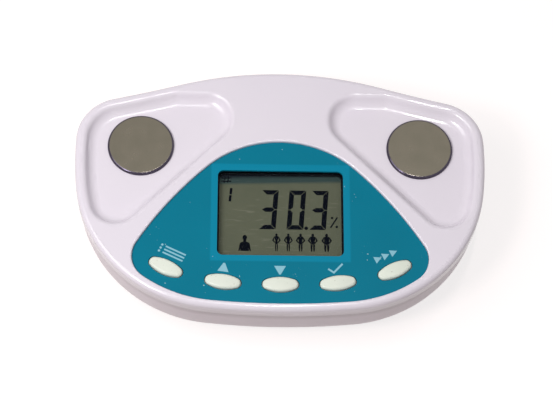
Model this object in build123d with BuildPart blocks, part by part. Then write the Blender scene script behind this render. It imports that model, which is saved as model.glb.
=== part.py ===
from build123d import *
from math import cos, radians, sin
import os

os.makedirs("parts", exist_ok=True)

# Handheld body fat analyzer, lying on its back: +X to the right, +Y to the top edge, +Z out of the front.
# All lengths are in millimetres and all angles in degrees.

# Outline of the case: tangent arcs down its right side, clockwise from the top centre
crown_radius = 126.5
crown_turn = 16.0
shoulder_radius = 455.0
shoulder_turn = 2.9
corner_radius = 15.9
corner_turn = 74.0
flank_radius = 113.0
flank_turn = 10.1
heel_radius = 49.0
heel_turn = 76.8

# Case shells
case_height = 26.5
front_skirt_height = 5.1
seam_gap = 1.0
front_wall = 2.2
front_skin = 1.8
rim_round = 1.8
inside_round = 0.9
level_tolerance = 0.01
back_step = 0.7
back_wall = 2.2
back_floor = 2.0
belly_round = 13.0
tongue_thickness = 1.2
tongue_rise = 1.9
tongue_root = 2.0
shell_clearance = 0.15

# Outline of the front panel: tangent arcs down its right side, clockwise from its top centre,
# set above the lower edge of the case by the chin lip
chin_lip = 2.8
panel_brow_radius = 36.6
panel_brow_turn = 43.1
panel_side_radius = 132.4
panel_side_turn = 15.8
panel_corner_radius = 9.0
panel_corner_turn = 85.2
panel_chin_radius = 45.3
panel_chin_turn = 31.0
panel_thickness = 0.8
panel_sink = 1.0
panel_clearance = 0.1
panel_edge_round = 0.6

# Thumb dishes
dish_depth = 3.0
dish_fall = 2.2
dish_rim_width = 3.2
dish_brow_drop = 8.7
dish_slant = 45.6
ridge_width = 3.6
dish_inner_x = 16.4
dish_round = 9.0
dish_floor_round = 3.5
dish_edge_round = 1.8

# Display
window_width = 42.3
window_length = 31.4
window_drop = 26.4
window_corner = 2.0
lens_margin = 2.2
lens_thickness = 1.2
lcd_margin = 1.6
lcd_sheet = 1.1
lcd_ledge = 2.2
lcd_foil = 0.2
lcd_frame_wall = 1.4
lcd_seat = 1.2
connector_width = 1.6
connector_end_gap = 2.0
fit_gap = 0.2

# Keys
key_upper_bow = 2.45
key_upper_radius = 15.0
key_lower_bow = 2.75
key_lower_radius = 11.7
key_tip_round = 1.8
key_rise = 1.2
key_crown_radius = 30.0
key_top_round = 0.9
key_clearance = 0.3
key_flange = 1.2
key_flange_thickness = 1.0
key_stem_step = 0.6
key_travel = 0.9
touch_gap = 0.05
pill_thickness = 0.5
outer_key_x = 37.9
outer_key_drop = 46.8
outer_key_angle = 25.6
inner_key_x = 19.0
inner_key_drop = 51.7
inner_key_angle = 7.7
middle_key_drop = 52.5

# Board and keypad mat
board_thickness = 1.2
board_inset = 5.0
lcd_rise = 3.1
board_top_drop = 22.5
board_half_width = 56.0
board_boss_gap = 0.5
mat_thickness = 1.0
mat_collar_wall = 1.0
mat_margin = 1.0
mat_web_width = 5.0

# Electrodes
thumb_x = 47.5
thumb_drop = 27.8
electrode_radius = 11.3
electrode_thickness = 1.1
electrode_round = 0.8
stud_radius = 2.0
stud_tip = 0.9
stud_clearance = 0.1
clip_radius = 4.5
clip_thickness = 0.5
clip_teeth = 6
clip_slot_length = 1.2
clip_slot_width = 0.7
contact_width = 3.0
contact_foot = 4.0
contact_head = 2.0
contact_strip = 0.3
lead_radius = 0.55
lead_bend = 1.6
lead_straight = 3.7
lead_shift_x = 5.0
lead_shift_y = -3.0
finger_x = 44.0
finger_drop = 31.5
finger_electrode_radius = 10.0
finger_rest_radius = 14.5
finger_rest_depth = 1.7
finger_pad_margin = 1.5
finger_pad_skin = 1.8

# Battery bay and door
cell_radius = 5.2
cell_length = 43.7
cell_nub_radius = 1.9
cell_nub_length = 0.8
cell_gap = 0.6
spring_reach = 4.0
bump_reach = 1.0
bay_wall = 1.5
bay_roof = 1.2
bay_air = 0.35
door_margin = 1.5
door_thickness = 1.6
door_sink = 0.2
door_clearance = 0.15
door_shoulder = 1.6
door_slot_clearance = 0.3
tab_x = 15.0
tab_width = 8.0
tab_reach = 1.6
tab_thickness = 1.2
tab_room = 1.4
latch_width = 10.0
latch_height = 2.6
latch_thickness = 1.0
latch_room = 0.6
nail_scoop_radius = 5.5
nail_scoop_depth = 1.1
grip_groove_length = 14.0
grip_groove_width = 1.0
grip_groove_depth = 0.4
grip_groove_pitch = 2.2
grip_grooves = 3
grip_inset = 5.0
terminal_thickness = 0.4
terminal_width = 8.0
leaf_flat = 2.0
spring_half_height = 4.6
bump_half_height = 3.0

# Screws and their bosses
upper_screw_x = 28.0
upper_screw_drop = 18.5
lower_screw_x = 44.0
lower_screw_drop = 57.5
boss_radius = 3.2
boss_split = 14.0
boss_web = 2.5
screw_shank_radius = 1.4
screw_head_radius = 2.6
screw_head_height = 2.0
screw_engagement = 5.5
screw_clearance = 0.1
counterbore_radius = 3.0
column_wall = 1.3
cross_slot_length = 2.8
cross_slot_width = 0.6
cross_slot_depth = 1.0
board_screw_upper_x = 31.0
board_screw_upper_drop = 27.5
board_screw_lower_x = 31.5
board_screw_lower_drop = 63.5
post_radius = 2.3
board_screw_radius = 1.0
board_screw_head_radius = 1.9
board_screw_head_height = 1.2
board_screw_length = 5.0

# Small parts on the board
buzzer_radius = 4.8
buzzer_height = 5.0
buzzer_port_radius = 1.0
buzzer_port_depth = 2.5
buzzer_inset = 5.2
chip_radius = 6.5
chip_height = 1.3
crystal_radius = 1.0
crystal_length = 6.0
crystal_x = -13.0
crystal_inset = 6.0
component_length = 2.0
component_width = 1.25
component_height = 0.8
component_pitch = 3.2
component_rows = 3
component_columns = 2
component_x = 31.0
component_inset = 18.0

case_arcs = (
    (crown_radius, crown_turn),
    (shoulder_radius, -shoulder_turn),
    (corner_radius, corner_turn),
    (flank_radius, flank_turn),
    (heel_radius, heel_turn),
)
panel_arcs = (
    (panel_brow_radius, panel_brow_turn),
    (panel_side_radius, panel_side_turn),
    (panel_corner_radius, panel_corner_turn),
    (panel_chin_radius, panel_chin_turn),
)


def walk(arcs, stop):
    """How far across and down an outline has come once it has turned by stop degrees."""
    across = 0.0
    down = 0.0
    heading = 0.0
    for radius, turn in arcs:
        step = min(turn, stop - heading)
        bend = radius if step > 0 else -radius
        across += bend * (sin(radians(heading + step)) - sin(radians(heading)))
        down += bend * (cos(radians(heading)) - cos(radians(heading + step)))
        heading += step
    return across, down


def outline_length(arcs):
    """Length along Y of a closed outline, with the arc that closes it at the bottom."""
    across, down = walk(arcs, 180)
    heading = radians(sum(turn for radius, turn in arcs))
    return down + across / sin(heading) * (cos(heading) + 1)


def outline_sketch(arcs, top, inset=0.0):
    """Face inside the arcs and their mirror image, moved in from them by inset."""
    with BuildSketch() as shape:
        with BuildLine():
            end = (0, top - inset)
            heading = (1, 0)
            for radius, turn in arcs:
                bend = radius - inset if turn > 0 else radius + inset
                arc = JernArc(start=end, tangent=heading, radius=bend, arc_size=-turn)
                end = arc @ 1
                heading = arc % 1
            closing_turn = 180 - sum(turn for radius, turn in arcs)
            closing_radius = end.X / sin(radians(closing_turn))
            JernArc(start=end, tangent=heading, radius=closing_radius, arc_size=-closing_turn)
            mirror(about=Plane.YZ)
        make_face()
    return shape.sketch


# Places along the case: from its top edge, or from the top of the panel
case_length = outline_length(case_arcs)
case_top = case_length / 2
cutter_size = 3 * case_length
panel_top = outline_length(panel_arcs) + chin_lip - case_top
dish_brow = case_top - dish_brow_drop
window_y = panel_top - window_drop
outer_key_y = panel_top - outer_key_drop
inner_key_y = panel_top - inner_key_drop
middle_key_y = panel_top - middle_key_drop
thumb_y = case_top - thumb_drop
finger_y = case_top - finger_drop
upper_screw_y = case_top - upper_screw_drop
lower_screw_y = case_top - lower_screw_drop
board_top_edge = case_top - board_top_drop
board_screw_upper_y = case_top - board_screw_upper_drop
board_screw_lower_y = case_top - board_screw_lower_drop
buzzer_y = board_top_edge - buzzer_inset
crystal_y = board_top_edge - crystal_inset
component_y = board_top_edge - component_inset

# Battery bay and door
door_inside = door_sink + door_thickness
door_seat = door_inside + touch_gap
cell_axis_y = cell_radius + cell_gap / 2
cell_axis_z = door_inside + bay_air + cell_radius
bay_roof_under = cell_axis_z + cell_radius + bay_air
bay_width = 2 * (cell_axis_y + cell_radius + bay_air)
bay_length = cell_length + cell_nub_length + spring_reach + bump_reach + 2 * (terminal_thickness + touch_gap)
door_length = bay_length + 2 * door_margin
door_width = bay_width + 2 * door_margin
recess_length = door_length + 2 * door_clearance
recess_width = door_width + 2 * door_clearance

# Heights: the panel, the display and the board hang down from the front face
panel_face = case_height - panel_sink
pocket_floor = panel_face - panel_thickness
pocket_under = pocket_floor - front_skin
lcd_top = pocket_under - fit_gap
lcd_bottom = lcd_top - 2 * lcd_sheet
board_top = lcd_bottom - lcd_rise
board_bottom = board_top - board_thickness
front_bottom = case_height - front_skirt_height
back_top = front_bottom - seam_gap
dish_floor = case_height - dish_depth
dish_under = dish_floor - front_skin
flange_top = pocket_under - touch_gap
flange_bottom = flange_top - key_flange_thickness
pill_bottom = board_top + key_travel + fit_gap
collar_top = flange_bottom - key_travel - fit_gap
finger_pad_top = finger_rest_depth + finger_pad_skin
screw_seat = boss_split - boss_web


def dish_sketch(shrink):
    """Outline of the right thumb dish, moved in from its edge by shrink."""
    across, down = walk(panel_arcs, dish_slant)
    slant_x = across + ridge_width * sin(radians(dish_slant))
    slant_y = panel_top - down + ridge_width * cos(radians(dish_slant))
    with BuildSketch() as shape:
        add(outline_sketch(case_arcs, case_top, dish_rim_width))
        with Locations((slant_x, slant_y)):
            Rectangle(
                cutter_size,
                cutter_size,
                rotation=-dish_slant,
                align=(Align.CENTER, Align.MAX),
                mode=Mode.SUBTRACT,
            )
        with Locations((dish_inner_x, dish_brow)):
            Rectangle(cutter_size, cutter_size, align=(Align.MIN, Align.MAX), mode=Mode.INTERSECT)
        offset(amount=-dish_round, kind=Kind.INTERSECTION, mode=Mode.REPLACE)
        offset(amount=dish_round - shrink, kind=Kind.ARC, mode=Mode.REPLACE)
    return shape.sketch


def key_sketch(grow=0.0):
    """Lens outline of a key at the origin, moved out by grow."""
    with BuildSketch() as shape:
        with Locations((0, key_upper_bow - key_upper_radius)):
            Circle(key_upper_radius + grow)
        with Locations((0, key_lower_radius - key_lower_bow)):
            Circle(key_lower_radius + grow, mode=Mode.INTERSECT)
        fillet(shape.vertices(), key_tip_round + grow)
    return shape.sketch


def window_sketch(margin=0.0):
    """Rounded rectangle around the display opening."""
    with BuildSketch() as shape:
        with Locations((0, window_y)):
            RectangleRounded(window_width + 2 * margin, window_length + 2 * margin, window_corner)
    return shape.sketch


key_places = {
    "menu": Location((-outer_key_x, outer_key_y, 0), (0, 0, -outer_key_angle)),
    "up": Location((-inner_key_x, inner_key_y, 0), (0, 0, -inner_key_angle)),
    "down": Location((0, middle_key_y, 0)),
    "set": Location((inner_key_x, inner_key_y, 0), (0, 0, inner_key_angle)),
    "start": Location((outer_key_x, outer_key_y, 0), (0, 0, outer_key_angle)),
}
case_screw_places = [
    (-upper_screw_x, upper_screw_y),
    (upper_screw_x, upper_screw_y),
    (-lower_screw_x, lower_screw_y),
    (lower_screw_x, lower_screw_y),
]
board_screw_places = [
    (-board_screw_upper_x, board_screw_upper_y),
    (board_screw_upper_x, board_screw_upper_y),
    (-board_screw_lower_x, board_screw_lower_y),
    (board_screw_lower_x, board_screw_lower_y),
]
thumb_places = [(-thumb_x, thumb_y), (thumb_x, thumb_y)]
finger_places = [(-finger_x, finger_y), (finger_x, finger_y)]


def post_sketch():
    """Round sections of the posts and bosses that stand on the inside of the front cover."""
    with BuildSketch() as shape:
        with Locations(*case_screw_places):
            Circle(boss_radius)
        with Locations(*board_screw_places):
            Circle(post_radius)
    return shape.sketch


# Front cover: glossy moulded shell with an even skin under the panel pocket and the thumb dishes
with BuildPart() as dish_cut:
    with BuildSketch(Plane.XY.offset(dish_floor)):
        add(dish_sketch(dish_fall))
    with BuildSketch(Plane.XY.offset(case_height)):
        add(dish_sketch(0))
    loft(ruled=True)
    mirror(about=Plane.YZ)

with BuildPart() as dish_skin:
    with BuildSketch(Plane.XY.offset(dish_under)):
        add(dish_sketch(dish_fall - front_skin))
    with BuildSketch(Plane.XY.offset(case_height)):
        add(dish_sketch(-front_skin))
    loft(ruled=True)
    mirror(about=Plane.YZ)

with BuildPart() as front_hollow:
    with BuildSketch(Plane.XY.offset(front_bottom)):
        add(outline_sketch(case_arcs, case_top, front_wall))
    extrude(amount=front_skirt_height - front_skin)
    fillet(front_hollow.faces().sort_by(Axis.Z)[-1].edges(), inside_round)
    with BuildSketch(Plane.XY.offset(pocket_under)):
        add(outline_sketch(panel_arcs, panel_top, -front_skin))
    extrude(amount=case_height - pocket_under, mode=Mode.SUBTRACT)
    add(dish_skin.part, mode=Mode.SUBTRACT)
    with BuildSketch(Plane.XY.offset(front_bottom)):
        add(post_sketch())
    extrude(amount=front_skirt_height, mode=Mode.SUBTRACT)

with BuildPart() as front_cover:
    with BuildSketch(Plane.XY.offset(front_bottom)):
        add(outline_sketch(case_arcs, case_top))
    extrude(amount=front_skirt_height)
    fillet(front_cover.faces().sort_by(Axis.Z)[-1].edges(), rim_round)
    add(dish_cut.part, mode=Mode.SUBTRACT)
    floor_edges = front_cover.edges().filter_by_position(
        Axis.Z, dish_floor - level_tolerance, dish_floor + level_tolerance
    )
    fillet(floor_edges, dish_floor_round)
    fillet(front_cover.faces().filter_by(Axis.Z).sort_by(Axis.Z)[-1].inner_wires().edges(), dish_edge_round)
    with BuildSketch(Plane.XY.offset(pocket_floor)):
        add(outline_sketch(panel_arcs, panel_top, -panel_clearance))
    extrude(amount=case_height - pocket_floor, mode=Mode.SUBTRACT)
    pocket_edges = front_cover.edges(Select.LAST).filter_by_position(
        Axis.Z, case_height - level_tolerance, case_height + level_tolerance
    )
    fillet(pocket_edges, panel_edge_round)
    add(front_hollow.part, mode=Mode.SUBTRACT)
    # Bosses and posts down to the back cover and the board, with their pilot holes
    with BuildSketch(Plane.XY.offset(boss_split)):
        with Locations(*case_screw_places):
            Circle(boss_radius)
    extrude(amount=front_bottom - boss_split)
    with BuildSketch(Plane.XY.offset(board_top)):
        with Locations(*board_screw_places):
            Circle(post_radius)
    extrude(amount=front_bottom - board_top)
    with BuildSketch(Plane.XY.offset(boss_split)):
        with Locations(*case_screw_places):
            Circle(screw_shank_radius + touch_gap)
    extrude(amount=screw_engagement + fit_gap, mode=Mode.SUBTRACT)
    with BuildSketch(Plane.XY.offset(board_top)):
        with Locations(*board_screw_places):
            Circle(board_screw_radius + touch_gap)
    extrude(amount=board_screw_length - board_thickness + fit_gap, mode=Mode.SUBTRACT)
    # Rebate and opening of the display, key holes, and stud holes of the thumb electrodes
    with BuildSketch(Plane.XY.offset(pocket_floor)):
        add(window_sketch(lens_margin + fit_gap))
    extrude(amount=-lens_thickness, mode=Mode.SUBTRACT)
    with BuildSketch(Plane.XY.offset(pocket_floor)):
        add(window_sketch())
    extrude(amount=-front_skin, mode=Mode.SUBTRACT)
    with BuildSketch(Plane.XY.offset(pocket_floor)):
        with Locations(*key_places.values()):
            add(key_sketch(key_clearance))
    extrude(amount=-front_skin, mode=Mode.SUBTRACT)
    with BuildSketch(Plane.XY.offset(dish_floor)):
        with Locations(*thumb_places):
            Circle(stud_radius + stud_clearance)
    extrude(amount=-front_skin, mode=Mode.SUBTRACT)
front_cover.part.label = "front_cover"
export_step(front_cover.part, "parts/front_cover.step")

# Back cover: deep tub with screw columns, the battery bay and two finger rests
with BuildPart() as back_hollow:
    with BuildSketch(Plane.XY.offset(back_floor)):
        add(outline_sketch(case_arcs, case_top, back_step + back_wall))
    extrude(amount=back_top - back_floor)
    fillet(back_hollow.faces().sort_by(Axis.Z)[0].edges(), belly_round - back_wall)
    # What stays standing in the tub: columns, pads over the finger rests, bay shoulder and bay walls
    with BuildSketch(Plane.XY.offset(back_floor)):
        with Locations(*case_screw_places):
            Circle(counterbore_radius + column_wall)
    extrude(amount=boss_split - back_floor, mode=Mode.SUBTRACT)
    with BuildSketch(Plane.XY.offset(back_floor)):
        with Locations(*finger_places):
            Circle(finger_rest_radius + finger_pad_margin)
    extrude(amount=finger_pad_top - back_floor, mode=Mode.SUBTRACT)
    with BuildSketch(Plane.XY.offset(back_floor)):
        Rectangle(recess_length + 2 * door_shoulder, recess_width + 2 * door_shoulder)
    extrude(amount=door_seat + door_shoulder - back_floor, mode=Mode.SUBTRACT)
    with BuildSketch(Plane.XY.offset(back_floor)):
        Rectangle(bay_length + 2 * bay_wall, bay_width + 2 * bay_wall)
    extrude(amount=bay_roof_under + bay_roof - back_floor, mode=Mode.SUBTRACT)

with BuildPart() as back_cover:
    with BuildSketch():
        add(outline_sketch(case_arcs, case_top, back_step))
    extrude(amount=back_top)
    fillet(back_cover.faces().sort_by(Axis.Z)[0].edges(), belly_round)
    add(back_hollow.part, mode=Mode.SUBTRACT)
    # Tongue that the front cover's skirt drops over
    with BuildSketch(Plane.XY.offset(back_top - tongue_root)):
        add(outline_sketch(case_arcs, case_top, front_wall + shell_clearance))
        add(
            outline_sketch(case_arcs, case_top, front_wall + shell_clearance + tongue_thickness),
            mode=Mode.SUBTRACT,
        )
    extrude(amount=tongue_root + tongue_rise)
    # Counterbored screw columns
    with BuildSketch():
        with Locations(*case_screw_places):
            Circle(counterbore_radius)
    extrude(amount=screw_seat, mode=Mode.SUBTRACT)
    with BuildSketch(Plane.XY.offset(screw_seat)):
        with Locations(*case_screw_places):
            Circle(screw_shank_radius + screw_clearance)
    extrude(amount=boss_web, mode=Mode.SUBTRACT)
    # Finger rests: round dimples with a flat seat and a stud hole for each electrode
    rest_ball = (finger_rest_radius**2 + finger_rest_depth**2) / (2 * finger_rest_depth)
    with Locations(*[(x, y, finger_rest_depth - rest_ball) for x, y in finger_places]):
        Sphere(rest_ball, mode=Mode.SUBTRACT)
    with BuildSketch():
        with Locations(*finger_places):
            Circle(finger_electrode_radius + shell_clearance)
    extrude(amount=finger_rest_depth, mode=Mode.SUBTRACT)
    with BuildSketch(Plane.XY.offset(finger_rest_depth)):
        with Locations(*finger_places):
            Circle(stud_radius + stud_clearance)
    extrude(amount=finger_pad_skin, mode=Mode.SUBTRACT)
    # Battery bay: the door's recess, the bay itself, slots for the tabs, the latch and the terminal
    # tails, and a scoop for a nail beside the latch
    with BuildSketch():
        Rectangle(recess_length, recess_width)
    extrude(amount=door_seat, mode=Mode.SUBTRACT)
    with BuildSketch(Plane.XY.offset(door_seat)):
        Rectangle(bay_length, bay_width)
    extrude(amount=bay_roof_under - door_seat, mode=Mode.SUBTRACT)
    with BuildSketch(Plane.XY.offset(door_seat)):
        with Locations((-tab_x, -bay_width / 2), (tab_x, -bay_width / 2)):
            Rectangle(
                tab_width + 2 * door_slot_clearance,
                (recess_width - bay_width) / 2 + tab_reach + 2 * fit_gap,
                align=(Align.CENTER, Align.MAX),
            )
    extrude(amount=tab_thickness + tab_room, mode=Mode.SUBTRACT)
    with BuildSketch(Plane.XY.offset(door_seat)):
        with Locations((0, bay_width / 2)):
            Rectangle(
                latch_width + 2 * door_slot_clearance,
                latch_thickness + door_slot_clearance + latch_room,
                align=(Align.CENTER, Align.MIN),
            )
    extrude(amount=latch_height + latch_room, mode=Mode.SUBTRACT)
    scoop_ball = (nail_scoop_radius**2 + nail_scoop_depth**2) / (2 * nail_scoop_depth)
    with Locations((0, recess_width / 2, nail_scoop_depth - scoop_ball)):
        Sphere(scoop_ball, mode=Mode.SUBTRACT)
    with BuildSketch(Plane.XY.offset(bay_roof_under)):
        with Locations((-bay_length / 2, cell_axis_y), (-bay_length / 2, -cell_axis_y)):
            Rectangle(
                terminal_thickness + fit_gap,
                terminal_width + 2 * fit_gap,
                align=(Align.MIN, Align.CENTER),
            )
    extrude(amount=bay_roof, mode=Mode.SUBTRACT)
back_cover.part.label = "back_cover"
export_step(back_cover.part, "parts/back_cover.step")

# Battery door: plate with two tabs on its lower edge, a latch tongue on its upper edge and grip grooves
with BuildPart() as battery_door:
    with BuildSketch(Plane.XY.offset(door_sink)):
        Rectangle(door_length, door_width)
    extrude(amount=door_thickness)
    with BuildSketch(Plane.XY.offset(door_inside)):
        with Locations((-tab_x, -bay_width / 2 - fit_gap), (tab_x, -bay_width / 2 - fit_gap)):
            Rectangle(tab_width, door_margin - 2 * fit_gap, align=(Align.CENTER, Align.MAX))
        with Locations((0, bay_width / 2 + fit_gap)):
            Rectangle(latch_width, latch_thickness, align=(Align.CENTER, Align.MIN))
    extrude(amount=tab_thickness + fit_gap)
    with BuildSketch(Plane.XY.offset(door_inside)):
        with Locations((0, bay_width / 2 + fit_gap)):
            Rectangle(latch_width, latch_thickness, align=(Align.CENTER, Align.MIN))
    extrude(amount=latch_height)
    with BuildSketch(Plane.XY.offset(door_inside + fit_gap)):
        with Locations((-tab_x, -recess_width / 2 - tab_reach), (tab_x, -recess_width / 2 - tab_reach)):
            Rectangle(
                tab_width,
                tab_reach + (recess_width - bay_width) / 2 - fit_gap,
                align=(Align.CENTER, Align.MIN),
            )
    extrude(amount=tab_thickness)
    with BuildSketch(Plane.XY.offset(door_sink)):
        with Locations((0, door_width / 2 - grip_inset)):
            with GridLocations(0, grip_groove_pitch, 1, grip_grooves):
                SlotOverall(grip_groove_length, grip_groove_width)
    extrude(amount=grip_groove_depth, mode=Mode.SUBTRACT)
battery_door.part.label = "battery_door"
export_step(battery_door.part, "parts/battery_door.step")

# Front panel: printed plate in the front cover's pocket, with the display opening and the key holes
with BuildPart() as front_panel:
    with BuildSketch(Plane.XY.offset(pocket_floor)):
        add(outline_sketch(panel_arcs, panel_top))
        add(window_sketch(), mode=Mode.SUBTRACT)
        with Locations(*key_places.values()):
            add(key_sketch(key_clearance), mode=Mode.SUBTRACT)
    extrude(amount=panel_thickness)
front_panel.part.label = "front_panel"
export_step(front_panel.part, "parts/front_panel.step")

# Display window: clear lens in its rebate below the panel
with BuildPart() as display_window:
    with BuildSketch(Plane.XY.offset(pocket_floor)):
        add(window_sketch(lens_margin))
    extrude(amount=-lens_thickness)
display_window.part.label = "display_window"
export_step(display_window.part, "parts/display_window.step")

# Liquid crystal display: two glass sheets, the lower one longer for its contacts, and a reflecting foil
lcd_width = window_width + 2 * lcd_margin
lcd_length = window_length + 2 * lcd_margin
with BuildPart() as lcd_glass:
    with BuildSketch(Plane.XY.offset(lcd_top)):
        with Locations((0, window_y)):
            Rectangle(lcd_width, lcd_length)
    extrude(amount=-lcd_sheet)
    with BuildSketch(Plane.XY.offset(lcd_bottom)):
        with Locations((0, window_y - lcd_ledge / 2)):
            Rectangle(lcd_width, lcd_length + lcd_ledge)
    extrude(amount=lcd_sheet)
lcd_glass.part.label = "lcd_glass"
export_step(lcd_glass.part, "parts/lcd_glass.step")

with BuildPart() as lcd_reflector:
    with BuildSketch(Plane.XY.offset(lcd_bottom)):
        with Locations((0, window_y)):
            Rectangle(lcd_width, lcd_length)
    extrude(amount=-lcd_foil)
lcd_reflector.part.label = "lcd_reflector"
export_step(lcd_reflector.part, "parts/lcd_reflector.step")

# Display frame: holds the glass over the board, with a slot for the connector strip
lcd_seat_height = lcd_bottom - lcd_foil
connector_y = window_y - lcd_length / 2 - lcd_ledge / 2
with BuildPart() as lcd_frame:
    with BuildSketch(Plane.XY.offset(board_top)):
        with Locations((0, window_y - lcd_ledge / 2)):
            Rectangle(
                lcd_width + 2 * (fit_gap + lcd_frame_wall),
                lcd_length + lcd_ledge + 2 * (fit_gap + lcd_frame_wall),
            )
            Rectangle(lcd_width - 2 * lcd_seat, lcd_length + lcd_ledge - 2 * lcd_seat, mode=Mode.SUBTRACT)
    extrude(amount=lcd_top - board_top)
    with BuildSketch(Plane.XY.offset(lcd_seat_height)):
        with Locations((0, window_y - lcd_ledge / 2)):
            Rectangle(lcd_width + 2 * fit_gap, lcd_length + lcd_ledge + 2 * fit_gap)
    extrude(amount=lcd_top - lcd_seat_height, mode=Mode.SUBTRACT)
    with BuildSketch(Plane.XY.offset(board_top)):
        with Locations((0, connector_y)):
            Rectangle(
                lcd_width - 2 * connector_end_gap + 2 * fit_gap,
                connector_width + 2 * fit_gap,
            )
    extrude(amount=lcd_seat_height - board_top, mode=Mode.SUBTRACT)
lcd_frame.part.label = "lcd_frame"
export_step(lcd_frame.part, "parts/lcd_frame.step")

with BuildPart() as lcd_connector:
    with BuildSketch(Plane.XY.offset(board_top)):
        with Locations((0, connector_y)):
            Rectangle(lcd_width - 2 * connector_end_gap, connector_width)
    extrude(amount=lcd_bottom - board_top)
lcd_connector.part.label = "lcd_connector"
export_step(lcd_connector.part, "parts/lcd_connector.step")

# Main board: follows the case, with clearance holes for the lower bosses and the board screws
with BuildPart() as main_board:
    with BuildSketch(Plane.XY.offset(board_bottom)):
        add(outline_sketch(case_arcs, case_top, board_inset))
        with Locations((0, board_top_edge)):
            Rectangle(
                2 * board_half_width,
                case_length,
                align=(Align.CENTER, Align.MAX),
                mode=Mode.INTERSECT,
            )
        with Locations(*case_screw_places):
            Circle(boss_radius + board_boss_gap, mode=Mode.SUBTRACT)
        with Locations(*board_screw_places):
            Circle(board_screw_radius + screw_clearance, mode=Mode.SUBTRACT)
    extrude(amount=board_thickness)
main_board.part.label = "main_board"
export_step(main_board.part, "parts/main_board.step")

# Keypad mat: silicone sheet on the board with a hole and a collar for each key
with BuildPart() as keypad_mat:
    with BuildSketch(Plane.XY.offset(board_top)):
        with Locations(*key_places.values()):
            add(key_sketch(mat_collar_wall + mat_margin))
        spots = [place.position for place in key_places.values()]
        for left, right in zip(spots, spots[1:]):
            reach = right - left
            with Locations((left + right) / 2):
                Rectangle(reach.length, mat_web_width, rotation=Vector(1, 0, 0).get_signed_angle(reach))
        with Locations(*key_places.values()):
            add(key_sketch(), mode=Mode.SUBTRACT)
        with Locations((0, window_y - lcd_ledge / 2)):
            Rectangle(
                lcd_width + 2 * (2 * fit_gap + lcd_frame_wall),
                lcd_length + lcd_ledge + 2 * (2 * fit_gap + lcd_frame_wall),
                mode=Mode.SUBTRACT,
            )
    extrude(amount=mat_thickness)
    with BuildSketch(Plane.XY.offset(board_top + mat_thickness)):
        with Locations(*key_places.values()):
            add(key_sketch(mat_collar_wall))
            add(key_sketch(), mode=Mode.SUBTRACT)
    extrude(amount=collar_top - board_top - mat_thickness)
keypad_mat.part.label = "keypad_mat"
export_step(keypad_mat.part, "parts/keypad_mat.step")

# Keys: crowned lens-shaped cap, a flange that stops it under the front cover, a stem, and a contact pill
for name, place in key_places.items():
    with BuildPart() as key:
        with BuildSketch(Plane.XY.offset(pill_bottom + pill_thickness)):
            with Locations(place):
                add(key_sketch(-key_stem_step))
        extrude(amount=flange_bottom - pill_bottom - pill_thickness)
        with BuildSketch(Plane.XY.offset(flange_bottom)):
            with Locations(place):
                add(key_sketch(key_flange))
        extrude(amount=key_flange_thickness)
        with BuildSketch(Plane.XY.offset(flange_top)):
            with Locations(place):
                add(key_sketch())
        extrude(amount=panel_face + key_rise - flange_top)
        with Locations(Location((0, 0, panel_face + key_rise - key_crown_radius)) * place):
            Sphere(key_crown_radius, mode=Mode.INTERSECT)
        fillet(key.faces().sort_by(Axis.Z)[-1].edges(), key_top_round)
    key.part.label = name + "_key"
    export_step(key.part, "parts/" + name + "_key.step")

    with BuildPart() as pill:
        with BuildSketch(Plane.XY.offset(pill_bottom)):
            with Locations(place):
                add(key_sketch(-key_stem_step - fit_gap))
        extrude(amount=pill_thickness)
    pill.part.label = name + "_contact"
    export_step(pill.part, "parts/" + name + "_contact.step")

# Thumb electrodes: steel discs with a rounded edge and a stud through the floor of the dish
stud_length = front_skin + clip_thickness + stud_tip
for side, place in zip(("left", "right"), thumb_places):
    with BuildPart() as electrode:
        with BuildSketch(Plane.XY.offset(dish_floor)):
            with Locations(place):
                Circle(electrode_radius)
        extrude(amount=electrode_thickness)
        fillet(electrode.edges().sort_by(Axis.Z)[-1], electrode_round)
        with BuildSketch(Plane.XY.offset(dish_floor)):
            with Locations(place):
                Circle(stud_radius)
        extrude(amount=-stud_length)
    electrode.part.label = side + "_thumb_electrode"
    export_step(electrode.part, "parts/" + side + "_thumb_electrode.step")

# Finger electrodes: the same kind of disc, facing back, sunk in the finger rests
for side, place in zip(("left", "right"), finger_places):
    with BuildPart() as electrode:
        with BuildSketch(Plane.XY.offset(finger_rest_depth)):
            with Locations(place):
                Circle(finger_electrode_radius)
        extrude(amount=-electrode_thickness)
        fillet(electrode.edges().sort_by(Axis.Z)[0], electrode_round)
        with BuildSketch(Plane.XY.offset(finger_rest_depth)):
            with Locations(place):
                Circle(stud_radius)
        extrude(amount=finger_pad_skin + clip_thickness + stud_tip)
    electrode.part.label = side + "_finger_electrode"
    export_step(electrode.part, "parts/" + side + "_finger_electrode.step")

# Spring clips: toothed washers pressed on the four studs
with BuildPart() as electrode_clips:
    for places, height in ((thumb_places, dish_under - clip_thickness), (finger_places, finger_pad_top)):
        with BuildSketch(Plane.XY.offset(height)):
            with Locations(*places):
                Circle(clip_radius)
                Circle(stud_radius + touch_gap, mode=Mode.SUBTRACT)
                with PolarLocations(stud_radius + clip_slot_length / 2, clip_teeth):
                    Rectangle(clip_slot_length, clip_slot_width, mode=Mode.SUBTRACT)
        extrude(amount=clip_thickness)
electrode_clips.part.label = "electrode_clips"
export_step(electrode_clips.part, "parts/electrode_clips.step")

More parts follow.
